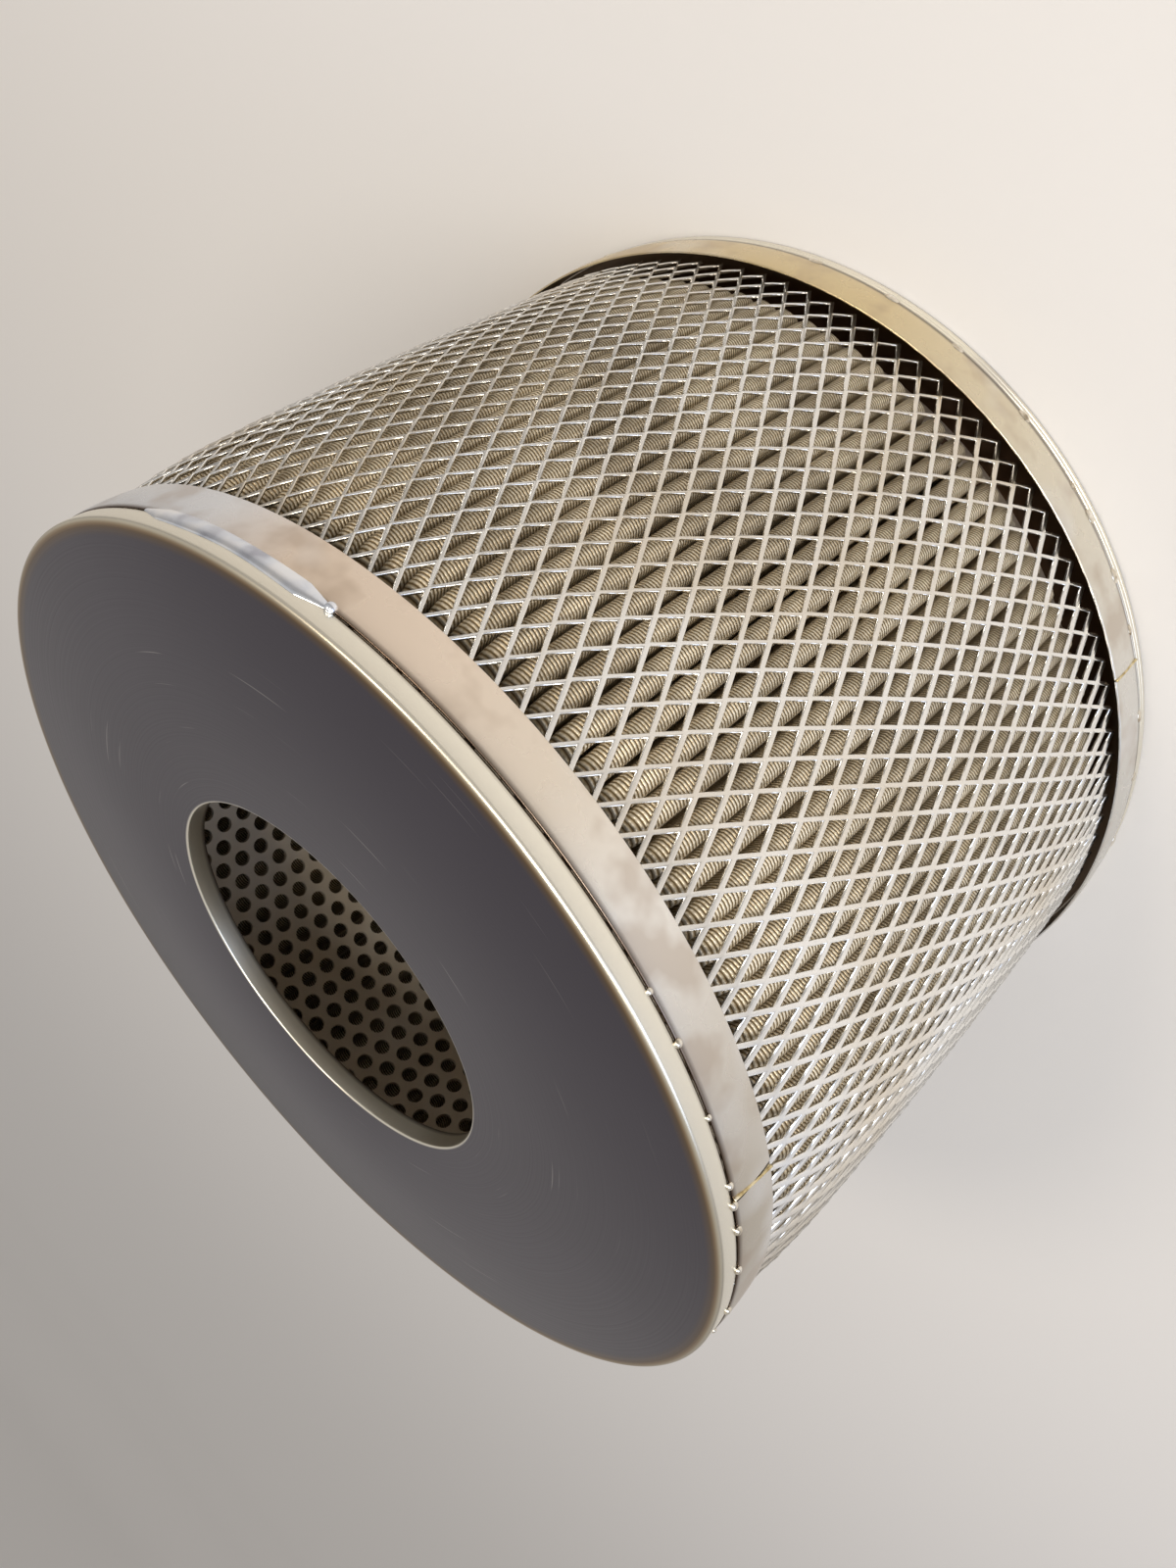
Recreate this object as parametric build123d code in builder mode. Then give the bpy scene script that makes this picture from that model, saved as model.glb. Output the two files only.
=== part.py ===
from build123d import *
import os
from math import cos, pi, radians, sin, sqrt, tan

os.makedirs("parts", exist_ok=True)

# A pleated wire mesh filter cartridge, slightly conical, standing on its wider blind plate.
# Origin at the centre of the rear plate's outer face, +Z up the axis to the bored front plate.
# Lengths in millimetres, angles in degrees.

# End plates
overall_length = 188.0
front_diameter = 250.0
rear_diameter = 262.0
front_plate_thickness = 5.5
rear_plate_thickness = 4.5
bore_diameter = 107.0
bore_chamfer = 0.5
rim_chamfer = 0.8

# End bands, rolled from strip and butted against the plates, with one butt joint each
band_width = 12.0
band_thickness = 0.8
band_stand_out = 0.5
band_joint_gap = 0.6
front_joint_angle = -131.0
rear_joint_angle = -119.5

# Perforated inner tube, rolled in flats, with one row of holes to each flat
tube_wall = 1.5
tube_flats = 20
tube_holes_per_row = 4
tube_hole_share = 0.68
tube_hole_sides = 8

# Pleated media: layered woven wire cloth in tight folds, its ends pressed shut onto the tube
pleat_count = 114
layer_thickness = 1.7
narrow_end_depth = 9.7
media_tube_clearance = 0.3
media_guard_clearance = 0.8
media_rear_end = 19.0
media_front_gap = 2.5
pinch_length = 10.0
pinched_height = 3.0

# Outer guard, one sheet of flattened expanded metal rolled round the pleats
guard_thickness = 1.2
guard_tip_height = 15.0
guard_tuck_depth = 6.5
guard_tuck_clearance = 0.3
guard_rear_clearance = 1.4
guard_belly_rise = 0.4
guard_shoulder_fall = 1.5
guard_columns = 20
guard_half_rows = 6
rear_to_belly_rows = 2
rear_to_shoulder_rows = 5
strand_width = 4.6

# Weld metal
bead_length = 3.0
bead_half_width = 1.5
bead_crown = 0.5
front_bead_phase = -106.9
front_bead_pitch = 8.0
front_bead_count = 34
rear_bead_phase = -88.8
rear_bead_count = 36
stitch_start = -66.5
stitch_end = -39.8

# Heights and radii that follow from the sizes above
front_plate_base = overall_length - front_plate_thickness
front_band_base = front_plate_base - band_width
front_band_radius = front_diameter / 2 + band_stand_out
rear_band_radius = rear_diameter / 2 + band_stand_out
guard_top = front_band_base + guard_tuck_depth
guard_half_row = (guard_top - guard_tip_height) / guard_half_rows
guard_belly_height = guard_tip_height + rear_to_belly_rows * guard_half_row
guard_shoulder_height = guard_tip_height + rear_to_shoulder_rows * guard_half_row
guard_tuck_radius = front_band_radius - band_thickness - guard_tuck_clearance - guard_thickness / 2
guard_rear_radius = rear_band_radius - band_thickness - guard_rear_clearance - guard_thickness / 2
guard_belly_radius = guard_rear_radius + guard_belly_rise
guard_shoulder_radius = guard_rear_radius - guard_shoulder_fall
narrow_end_radius = min(guard_tuck_radius, guard_rear_radius) - guard_thickness / 2
tube_outer_radius = narrow_end_radius - narrow_end_depth
tube_inner_radius = tube_outer_radius - tube_wall
tube_length = front_plate_base - rear_plate_thickness
pleat_root_radius = tube_outer_radius + media_tube_clearance
media_front_end = front_band_base - media_front_gap


def spoke(angle, height, reach=0.0):
    """A plane on the axis side, facing outwards at an angle round the part, its local y up."""
    outward = Vector(cos(radians(angle)), sin(radians(angle)), 0)
    across = Vector(-sin(radians(angle)), cos(radians(angle)), 0)
    return Plane(origin=outward * reach + Vector(0, 0, height), x_dir=across, z_dir=outward)


def at(angle, radius, across=0.0):
    """A point in plan at a radius along the line at an angle, and so far across that line."""
    x = radius * cos(radians(angle)) - across * sin(radians(angle))
    y = radius * sin(radians(angle)) + across * cos(radians(angle))
    return (x, y)


def meridian(angle):
    """A half plane through the axis at an angle round the part, its x outwards and its y up."""
    return Plane(
        origin=(0, 0, 0),
        x_dir=(cos(radians(angle)), sin(radians(angle)), 0),
        z_dir=(sin(radians(angle)), -cos(radians(angle)), 0),
    )


# Front plate: a turned ring with the inlet bore, the seat for the mating spigot
with BuildPart() as front_plate:
    with BuildSketch(Plane.XY.offset(front_plate_base)):
        Circle(front_diameter / 2)
        Circle(bore_diameter / 2, mode=Mode.SUBTRACT)
    extrude(amount=front_plate_thickness)
    front_face_edges = front_plate.edges().group_by(Axis.Z)[-1].sort_by(SortBy.RADIUS)
    chamfer(front_face_edges[0], bore_chamfer)
    chamfer(front_face_edges[-1], rim_chamfer)

# Rear plate: a turned blind disc on which the cartridge stands
with BuildPart() as rear_plate:
    with BuildSketch(Plane.XY):
        Circle(rear_diameter / 2)
    extrude(amount=rear_plate_thickness)
    chamfer(rear_plate.edges().group_by(Axis.Z)[0], rim_chamfer)

# Front band: a strip ring behind the plate's rim, open by a hair at its butt joint
with BuildPart() as front_band:
    with BuildSketch(Plane.XY.offset(front_band_base)):
        Circle(front_band_radius)
        Circle(front_band_radius - band_thickness, mode=Mode.SUBTRACT)
    extrude(amount=band_width)
    with BuildSketch(spoke(front_joint_angle, front_band_base + band_width / 2)):
        Rectangle(band_joint_gap, 2 * band_width)
    extrude(amount=2 * front_band_radius, mode=Mode.SUBTRACT)

# Rear band: the same strip on the rear plate, a little wider round
with BuildPart() as rear_band:
    with BuildSketch(Plane.XY.offset(rear_plate_thickness)):
        Circle(rear_band_radius)
        Circle(rear_band_radius - band_thickness, mode=Mode.SUBTRACT)
    extrude(amount=band_width)
    with BuildSketch(spoke(rear_joint_angle, rear_plate_thickness + band_width / 2)):
        Rectangle(band_joint_gap, 2 * band_width)
    extrude(amount=2 * rear_band_radius, mode=Mode.SUBTRACT)

# Inner tube: perforated sheet between the plates, its holes staggered from row to row
tube_hole_pitch = tube_length / (tube_holes_per_row + 0.5)
tube_flat_width = 2 * tube_inner_radius * sin(pi / tube_flats)
tube_hole_radius = tube_hole_share * min(tube_flat_width * 2 / sqrt(3), tube_hole_pitch) / 2
tube_flat_radius = tube_inner_radius * cos(pi / tube_flats)
tube_hole_planes = []
for row in range(tube_flats):
    for step in range(tube_holes_per_row):
        hole_height = rear_plate_thickness + (step + 0.5 + 0.5 * (row % 2)) * tube_hole_pitch
        row_angle = (row + 0.5) * 360.0 / tube_flats
        tube_hole_planes.append(spoke(row_angle, hole_height, tube_flat_radius - tube_wall))

with BuildPart() as inner_tube:
    with BuildSketch(Plane.XY.offset(rear_plate_thickness)):
        RegularPolygon(tube_outer_radius, tube_flats)
        RegularPolygon(tube_inner_radius, tube_flats, mode=Mode.SUBTRACT)
    extrude(amount=tube_length)
    with BuildSketch(*tube_hole_planes):
        RegularPolygon(tube_hole_radius, tube_hole_sides)
    extrude(amount=4 * tube_wall, mode=Mode.SUBTRACT)

# Pleat sizes: the walls of each fold run from the crest straight to where two folds meet
guard_inner_offset = guard_thickness / 2 + media_guard_clearance
slope_length = front_band_base - guard_shoulder_height
shoulder_run = (media_front_end - pinch_length - guard_shoulder_height) / slope_length
shoulder_drop = shoulder_run * (guard_shoulder_radius - guard_tuck_radius)
rear_crest_radius = guard_rear_radius - guard_inner_offset
belly_crest_radius = guard_belly_radius - guard_inner_offset
shoulder_crest_radius = guard_shoulder_radius - guard_inner_offset
front_crest_radius = shoulder_crest_radius - shoulder_drop
crest_limit = max(belly_crest_radius, shoulder_crest_radius, front_crest_radius)
crest_floor = min(rear_crest_radius, shoulder_crest_radius, front_crest_radius)
fold_meeting_radius = pleat_root_radius + layer_thickness
half_fold_base = fold_meeting_radius * tan(pi / pleat_count)
wall_lean = (half_fold_base - layer_thickness) / (crest_limit - fold_meeting_radius)
hollow_crest_radius = crest_floor - layer_thickness
hollow_half_base = wall_lean * (hollow_crest_radius - pleat_root_radius)
fold_planes = [meridian(pleat * 360.0 / pleat_count) for pleat in range(pleat_count)]
fold_outline = []
hollow_outline = []
root_outline = []
for pleat in range(pleat_count):
    middle = pleat * 360.0 / pleat_count
    between = middle + 180.0 / pleat_count
    fold_outline.append(at(middle, crest_limit, -layer_thickness))
    fold_outline.append(at(middle, crest_limit, layer_thickness))
    fold_outline.append(at(between, fold_meeting_radius / cos(pi / pleat_count)))
    hollow_outline.append(at(middle, pleat_root_radius, -hollow_half_base))
    hollow_outline.append(at(middle, hollow_crest_radius))
    hollow_outline.append(at(middle, pleat_root_radius, hollow_half_base))
    root_outline.append(at(between, pleat_root_radius / cos(pi / pleat_count)))

# Filter media: the folds under the guard's curve, hollow between their layers, open for the tube
with BuildPart() as filter_media:
    with BuildSketch(Plane.XY.offset(media_rear_end)):
        with BuildLine():
            Polyline(*fold_outline, close=True)
        make_face()
    extrude(amount=media_front_end - media_rear_end)
    with BuildSketch(*fold_planes):
        with BuildLine():
            Polyline(
                (crest_limit + layer_thickness, media_rear_end),
                (pleat_root_radius + pinched_height, media_rear_end),
                (rear_crest_radius, media_rear_end + pinch_length),
                (belly_crest_radius, guard_belly_height),
                (shoulder_crest_radius, guard_shoulder_height),
                (front_crest_radius, media_front_end - pinch_length),
                (pleat_root_radius + pinched_height, media_front_end),
                (crest_limit + layer_thickness, media_front_end),
                close=True,
            )
        make_face()
    extrude(amount=half_fold_base, both=True, mode=Mode.SUBTRACT)
    with BuildSketch(Plane.XY.offset(media_rear_end)):
        with BuildLine():
            Polyline(*root_outline, close=True)
        make_face()
    extrude(amount=media_front_end - media_rear_end, mode=Mode.SUBTRACT)
    with BuildSketch(Plane.XY.offset(media_rear_end + pinch_length)):
        with BuildLine():
            Polyline(*hollow_outline, close=True)
        make_face()
    extrude(amount=media_front_end - media_rear_end - 2 * pinch_length, mode=Mode.SUBTRACT)

# Guard in section: heights and mid radii, from the rear tips to the end tucked under the front band
guard_profile = [
    (guard_tip_height, guard_rear_radius),
    (guard_belly_height, guard_belly_radius),
    (guard_shoulder_height, guard_shoulder_radius),
    (front_band_base, guard_tuck_radius),
    (guard_top, guard_tuck_radius),
]
half_column = pi * guard_belly_radius / guard_columns
diamond_inset = strand_width / 2 * sqrt(guard_half_row**2 + half_column**2)
open_share = 1 - diamond_inset / (guard_half_row * half_column)
diamond_start = narrow_end_radius - 2 * guard_thickness
widest_guard_radius = max(guard_belly_radius, guard_tuck_radius)
diamond_planes = []
for row in range(guard_half_rows + 1):
    for column in range(guard_columns):
        turn = (column + 0.5 * ((row + 1) % 2)) * 360.0 / guard_columns
        diamond_planes.append(spoke(turn, guard_tip_height + row * guard_half_row, diamond_start))

# Outer guard: diamonds longer along the axis than round it, in staggered rows, with closed tips
with BuildPart() as outer_guard:
    for height, radius in guard_profile:
        with BuildSketch(Plane.XY.offset(height)):
            RegularPolygon(radius + guard_thickness / 2, 2 * guard_columns)
    loft(ruled=True)
    for height, radius in guard_profile:
        with BuildSketch(Plane.XY.offset(height)):
            RegularPolygon(radius - guard_thickness / 2, 2 * guard_columns)
    loft(ruled=True, mode=Mode.SUBTRACT)
    with BuildSketch(*diamond_planes):
        with BuildLine():
            Polyline(
                (half_column * open_share, 0),
                (0, guard_half_row * open_share),
                (-half_column * open_share, 0),
                (0, -guard_half_row * open_share),
                close=True,
            )
        make_face()
    extrude(amount=widest_guard_radius + guard_thickness - diamond_start, mode=Mode.SUBTRACT)


def seam_bead(plate_radius, band_radius, seam, side):
    """Weld metal in section: it laps onto the plate and onto the band across the seam."""
    return [
        (plate_radius, seam),
        (band_radius, seam),
        (band_radius, seam - side * bead_half_width),
        (band_radius + bead_crown, seam - side * bead_half_width / 2),
        (plate_radius + bead_crown, seam + side * bead_half_width / 2),
        (plate_radius, seam + side * bead_half_width),
    ]


front_bead_section = seam_bead(front_diameter / 2, front_band_radius, front_plate_base, 1)
rear_bead_section = seam_bead(rear_diameter / 2, rear_band_radius, rear_plate_thickness, -1)
front_bead_planes = [meridian(front_bead_phase - n * front_bead_pitch) for n in range(front_bead_count)]
rear_bead_planes = [meridian(rear_bead_phase - n * 360.0 / rear_bead_count) for n in range(rear_bead_count)]

# Front tack welds: short beads in the seam between plate and band
with BuildPart() as front_tack_welds:
    with BuildSketch(*front_bead_planes):
        with BuildLine():
            Polyline(*front_bead_section, close=True)
        make_face()
    extrude(amount=bead_length / 2, both=True)

# Rear tack welds: the same beads in the rear seam
with BuildPart() as rear_tack_welds:
    with BuildSketch(*rear_bead_planes):
        with BuildLine():
            Polyline(*rear_bead_section, close=True)
        make_face()
    extrude(amount=bead_length / 2, both=True)

# Front seam weld: one longer run in the front seam
with BuildPart() as front_seam_weld:
    with BuildSketch(meridian(stitch_start)):
        with BuildLine():
            Polyline(*front_bead_section, close=True)
        make_face()
    revolve(axis=Axis.Z, revolution_arc=stitch_end - stitch_start)

# Joint welds: the metal that fills each band's butt joint, standing a little proud
with BuildPart() as front_joint_weld:
    weld_start = front_band_radius - band_thickness
    with BuildSketch(spoke(front_joint_angle, front_band_base + band_width / 2, weld_start)):
        Rectangle(band_joint_gap, band_width)
    extrude(amount=band_thickness + bead_crown)

with BuildPart() as rear_joint_weld:
    weld_start = rear_band_radius - band_thickness
    with BuildSketch(spoke(rear_joint_angle, rear_plate_thickness + band_width / 2, weld_start)):
        Rectangle(band_joint_gap, band_width)
    extrude(amount=band_thickness + bead_crown)

front_plate.part.label = "front_plate"
rear_plate.part.label = "rear_plate"
front_band.part.label = "front_band"
rear_band.part.label = "rear_band"
inner_tube.part.label = "inner_tube"
filter_media.part.label = "filter_media"
outer_guard.part.label = "outer_guard"
front_tack_welds.part.label = "front_tack_welds"
rear_tack_welds.part.label = "rear_tack_welds"
front_seam_weld.part.label = "front_seam_weld"
front_joint_weld.part.label = "front_joint_weld"
rear_joint_weld.part.label = "rear_joint_weld"

export_step(front_plate.part, "parts/front_plate.step")
export_step(rear_plate.part, "parts/rear_plate.step")
export_step(front_band.part, "parts/front_band.step")
export_step(rear_band.part, "parts/rear_band.step")
export_step(inner_tube.part, "parts/inner_tube.step")
export_step(filter_media.part, "parts/filter_media.step")
export_step(outer_guard.part, "parts/outer_guard.step")
export_step(front_tack_welds.part, "parts/front_tack_welds.step")
export_step(rear_tack_welds.part, "parts/rear_tack_welds.step")
export_step(front_seam_weld.part, "parts/front_seam_weld.step")
export_step(front_joint_weld.part, "parts/front_joint_weld.step")
export_step(rear_joint_weld.part, "parts/rear_joint_weld.step")
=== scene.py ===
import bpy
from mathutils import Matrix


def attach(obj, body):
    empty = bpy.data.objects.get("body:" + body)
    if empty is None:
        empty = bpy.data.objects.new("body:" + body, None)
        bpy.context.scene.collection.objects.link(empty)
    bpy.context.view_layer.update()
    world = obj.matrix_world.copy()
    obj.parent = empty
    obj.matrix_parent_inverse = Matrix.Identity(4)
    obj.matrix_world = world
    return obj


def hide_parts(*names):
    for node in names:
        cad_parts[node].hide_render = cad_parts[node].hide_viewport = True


bl_info = {
    "name": "Filter Cartridge",
    "version": (1, 0, 0),
    "blender": (4, 5, 0),
    "location": "View3D > Sidebar > Cartridge",
    "description": "Builds a pleated wire cloth filter cartridge with its guard, tube, plates and welds",
    "category": "Object",
}

from math import cos, pi, radians, sin, sqrt, tau
from random import Random

import bmesh
import bpy
from bpy.props import FloatProperty, FloatVectorProperty, IntProperty, PointerProperty
from bpy.types import Operator, Panel, PropertyGroup
from mathutils import Matrix, Vector

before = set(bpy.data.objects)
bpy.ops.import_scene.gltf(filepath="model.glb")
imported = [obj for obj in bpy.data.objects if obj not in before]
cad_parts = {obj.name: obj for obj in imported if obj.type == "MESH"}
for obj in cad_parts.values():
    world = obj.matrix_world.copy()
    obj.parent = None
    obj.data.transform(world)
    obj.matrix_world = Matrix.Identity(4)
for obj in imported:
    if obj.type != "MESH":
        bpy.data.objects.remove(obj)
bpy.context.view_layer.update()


def colour(code):
    """A linear colour with alpha from a hex code such as a paint chart gives."""
    parts = [int(code[i : i + 2], 16) / 255 for i in (0, 2, 4)]
    linear = [p / 12.92 if p <= 0.04045 else ((p + 0.055) / 1.055) ** 2.4 for p in parts]
    return (*linear, 1.0)


def swatch(name, words, code):
    """A colour that a user can pick."""
    return FloatVectorProperty(
        name=name, description=words, default=colour(code), subtype="COLOR", size=4, min=0.0, max=1.0
    )


class CartridgeColours(PropertyGroup):
    """Colours of the metals and the floor."""

    # Plate: a dark grey that is painted shade on the faces.
    plate: swatch("Plate", "Faced metal of both plates", "5a565e")
    # Rim: a pale cream that is a painted highlight on the rims and the bore.
    rim_sheen: swatch("Rim", "Polished rim of both plates", "f1ecdd")
    band: swatch("Bands", "Strip of the end bands away from the welds", "c9c4ba")
    guard: swatch("Guard", "Expanded metal of the guard", "fbfbf9")
    # The crests' tone is the painted highlight on the knuckle tops.
    cloth: swatch("Cloth", "Crests of the woven cloth", "f6ecd6")
    # Painted shade: the brown that darkens the cloth's folds towards the tube.
    film_and_fold_shade: swatch("Film", "Brown film in the folds", "b09468")
    tube: swatch("Tube", "Perforated inner tube", "fff6e6")
    weld: swatch("Weld", "Bright seam weld", "f8fafd")
    floor: swatch("Floor", "Studio paper", "dad8d6")


class CartridgeSizes(PropertyGroup):
    """Sizes of the cartridge, standing on its rear plate."""

    height: FloatProperty(name="Height", description="Overall length", default=0.188, unit="LENGTH")
    front_radius: FloatProperty(
        name="Front radius", description="Radius of the front plate", default=0.125, unit="LENGTH"
    )
    rear_radius: FloatProperty(
        name="Rear radius", description="Radius of the rear plate", default=0.131, unit="LENGTH"
    )
    front_thickness: FloatProperty(
        name="Front plate", description="Thickness of the front plate", default=0.0055, unit="LENGTH"
    )
    rear_thickness: FloatProperty(
        name="Rear plate", description="Thickness of the rear plate", default=0.0045, unit="LENGTH"
    )
    bore_radius: FloatProperty(
        name="Bore radius", description="Radius of the inlet bore", default=0.0535, unit="LENGTH"
    )
    band_width: FloatProperty(
        name="Band width", description="Width of both end bands", default=0.012, unit="LENGTH"
    )
    band_sheet: FloatProperty(
        name="Band sheet", description="Sheet thickness of the bands", default=0.0008, unit="LENGTH"
    )
    band_step: FloatProperty(
        name="Band step", description="How far a band stands past its plate", default=0.0005, unit="LENGTH"
    )
    joint_gap: FloatProperty(
        name="Joint gap", description="Width of the weld in a band's joint", default=0.0006, unit="LENGTH"
    )
    front_joint: FloatProperty(
        name="Front joint",
        description="Angle of the front band's joint",
        default=radians(-131),
        unit="ROTATION",
    )
    rear_joint: FloatProperty(
        name="Rear joint",
        description="Angle of the rear band's joint",
        default=radians(-119.5),
        unit="ROTATION",
    )


class GuardSizes(PropertyGroup):
    """Sizes of the expanded metal guard."""

    columns: IntProperty(name="Columns", description="Diamonds round the guard", default=116)
    half_rows: IntProperty(name="Half rows", description="Half diamonds along the guard", default=27)
    tip_height: FloatProperty(
        name="Tip height", description="Height of the guard's rear tips", default=0.015, unit="LENGTH"
    )
    half_row: FloatProperty(
        name="Half row", description="Half of a diamond's length", default=0.006, unit="LENGTH"
    )
    strand: FloatProperty(name="Strand", description="Width of a strand", default=0.00105, unit="LENGTH")
    thickness: FloatProperty(
        name="Thickness", description="Thickness of the guard", default=0.0007, unit="LENGTH"
    )
    tilt: FloatProperty(
        name="Tilt", description="How far a strand leans out and in", default=0.00045, unit="LENGTH"
    )
    phase: FloatProperty(
        name="Phase", description="Angle of one rear tip", default=radians(-67.5), unit="ROTATION"
    )


class MediaSizes(PropertyGroup):
    """Sizes of the pleats and of the perforated tube under them."""

    pleats: IntProperty(name="Pleats", description="Pleats round the tube", default=114)
    tube_radius: FloatProperty(
        name="Tube radius", description="Inner radius of the tube", default=0.112, unit="LENGTH"
    )
    tube_wall: FloatProperty(name="Tube wall", description="Sheet of the tube", default=0.0015, unit="LENGTH")
    hole_radius: FloatProperty(
        name="Hole radius", description="Radius of the tube's holes", default=0.0027, unit="LENGTH"
    )
    hole_pitch: FloatProperty(
        name="Hole pitch", description="Distance between holes in a row", default=0.007875, unit="LENGTH"
    )
    hole_rows: IntProperty(name="Hole rows", description="Rows of holes round the tube", default=102)
    holes_per_row: IntProperty(name="Holes in a row", description="Holes in each row", default=22)
    rear_end: FloatProperty(
        name="Rear end", description="Height of the pleats' rear ends", default=0.020, unit="LENGTH"
    )
    cloth: FloatProperty(name="Cloth", description="Depth of the cloth", default=0.0006, unit="LENGTH")
    front_end: FloatProperty(
        name="Front end", description="Height of the pleats' front ends", default=0.168, unit="LENGTH"
    )


# Surfaces

MATH, MIX, RAMP, NOISE = "ShaderNodeMath", "ShaderNodeMix", "ShaderNodeValToRGB", "ShaderNodeTexNoise"
BUMP, JOIN, SPLIT = "ShaderNodeBump", "ShaderNodeCombineXYZ", "ShaderNodeSeparateXYZ"

BLACK, WHITE = "000000", "ffffff"
GROOVE_SHADE_REACH = 0.00125  # how far the painted shade of a seam's groove spreads each way, in metres
FACE_MIDDLE, FACE_HALF = 0.0895, 0.0354  # middle radius and half width of the plates' satin face, in metres
SCRATCH_DEPTH = 0.00002  # depth of lathe rings and rolled grain, in metres
WIRE_DEPTH = 0.00032  # height of the knuckles of the cloth, in metres
WIRE_SPACING = (1.3, 0.85)  # from wire to wire along and across the folds, as drawn, in millimetres
SHADE_START = 0.1262  # radius inside which painted shade darkens the folds, in metres
SHADE_RATE = 130.0  # share of painted shade gained by each metre inwards


def add(tree, kind, *values, stops=(), **settings):
    """A node with its settings, its colour stops and its sockets linked or set in order; gives its output."""
    made = tree.nodes.new(kind)
    for key, value in settings.items():
        setattr(made, key, value)
    for number, (position, tone) in enumerate(stops):
        if number > 1:
            made.color_ramp.elements.new(position)
        made.color_ramp.elements[number].position = position
        made.color_ramp.elements[number].color = colour(tone) if isinstance(tone, str) else tone
    for socket, value in zip([s for s in made.inputs if s.enabled], values):
        if isinstance(value, bpy.types.NodeSocket):
            tree.links.new(value, socket)
        elif value is not None:
            socket.default_value = value
    return next((s for s in made.outputs if s.enabled), None)


def finish(name, metallic, roughness, tone=None):
    """A new material with its tree and its shader node."""
    made = bpy.data.materials.new(name)
    made.use_nodes = True
    shader = made.node_tree.nodes["Principled BSDF"]
    shader.inputs["Metallic"].default_value = metallic
    shader.inputs["Roughness"].default_value = roughness
    if tone is not None:
        shader.inputs["Base Color"].default_value = tone
    return made, made.node_tree, shader


def spots(tree):
    """Object coordinates, the distance from the axis and the angle round it, in metres and radians."""
    place = add(tree, "ShaderNodeTexCoord").node.outputs["Object"]
    x, y, z = add(tree, SPLIT, place).node.outputs
    squares = [add(tree, MATH, side, side, operation="MULTIPLY") for side in (x, y)]
    reach = add(tree, MATH, add(tree, MATH, *squares, operation="ADD"), operation="SQRT")
    return place, reach, add(tree, MATH, y, x, operation="ARCTAN2"), z


def coated(tree, tone, *coats):
    """A tone under coats of other tones, each laid on in its share where its mask is white."""
    for mask, share, top in coats:
        amount = add(tree, MATH, mask, share, operation="MULTIPLY")
        tone = add(tree, MIX, amount, tone, top, data_type="RGBA")
    return tone


def seam_groove_shade(tree, height, tone, seams, groove_shade_tone):
    """A tone with painted shade laid over it as a dark line in the groove at each seam's height."""
    for seam in seams:
        above = add(tree, MATH, height, seam, operation="SUBTRACT")
        away = add(tree, MATH, above, operation="ABSOLUTE")
        near = add(tree, MATH, away, -1 / GROOVE_SHADE_REACH, 1.0, operation="MULTIPLY_ADD")
        mask = add(tree, MATH, near, 0.0, operation="MAXIMUM")
        tone = coated(tree, tone, (mask, 0.95, groove_shade_tone))
    return tone


def plate_steel(colours, seams):
    # Stainless steel plate faced on a lathe: a dark satin grey that is painted shade, with the tool's fine
    # rings and some scratched arcs, and straw to brown heat tint towards the rim, which is polished bright as
    # the bore is, its pale cream a painted highlight.
    made, tree, shader = finish("turned_stainless_plate", 1.0, 0.32)
    place, reach, turn, z = spots(tree)
    millimetres = add(tree, MATH, reach, 1000.0, operation="MULTIPLY")
    rings = add(tree, NOISE, millimetres, 2.2, 3.0, noise_dimensions="1D")
    round_it = add(tree, MATH, turn, 2.5, operation="MULTIPLY")
    outward = add(tree, MATH, millimetres, 1.5, operation="MULTIPLY")
    polar = add(tree, JOIN, round_it, outward)
    arcs = add(tree, RAMP, add(tree, NOISE, polar, 1.0, 0.0), stops=[(0.80, BLACK), (0.86, WHITE)])
    # The plate grey is painted shade on the faces, and the rim's pale cream is a painted highlight on rim and
    # bore.
    plate, rim_sheen = tuple(colours.plate), tuple(colours.rim_sheen)
    tint = add(
        tree,
        RAMP,
        add(tree, MATH, reach, 8.0, operation="MULTIPLY"),
        stops=[
            (0.4295, rim_sheen),
            (0.4335, plate),
            (0.968, plate),
            (0.984, "75614a"),
            (0.991, "a98d66"),
            (0.996, "e6dcc4"),
            (1.0, rim_sheen),
        ],
    )
    face = coated(tree, tint, (add(tree, NOISE, place, 14.0), 0.5, colour("3d393f")))
    between_edges = add(tree, MATH, reach, FACE_MIDDLE, FACE_HALF, operation="COMPARE")
    tone = add(tree, MIX, between_edges, tint, face, data_type="RGBA")
    tone = coated(tree, tone, (arcs, 0.45, colour("b9b4b0")))
    # Painted shade: a dark brown line in the groove at each seam.
    tree.links.new(seam_groove_shade(tree, z, tone, seams, colour("4d3a2a")), shader.inputs["Base Color"])
    tree.links.new(add(tree, MATH, rings, 0.14, 0.25, operation="MULTIPLY_ADD"), shader.inputs["Roughness"])
    tree.links.new(add(tree, BUMP, 0.3, SCRATCH_DEPTH, None, rings), shader.inputs["Normal"])
    return made


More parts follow.
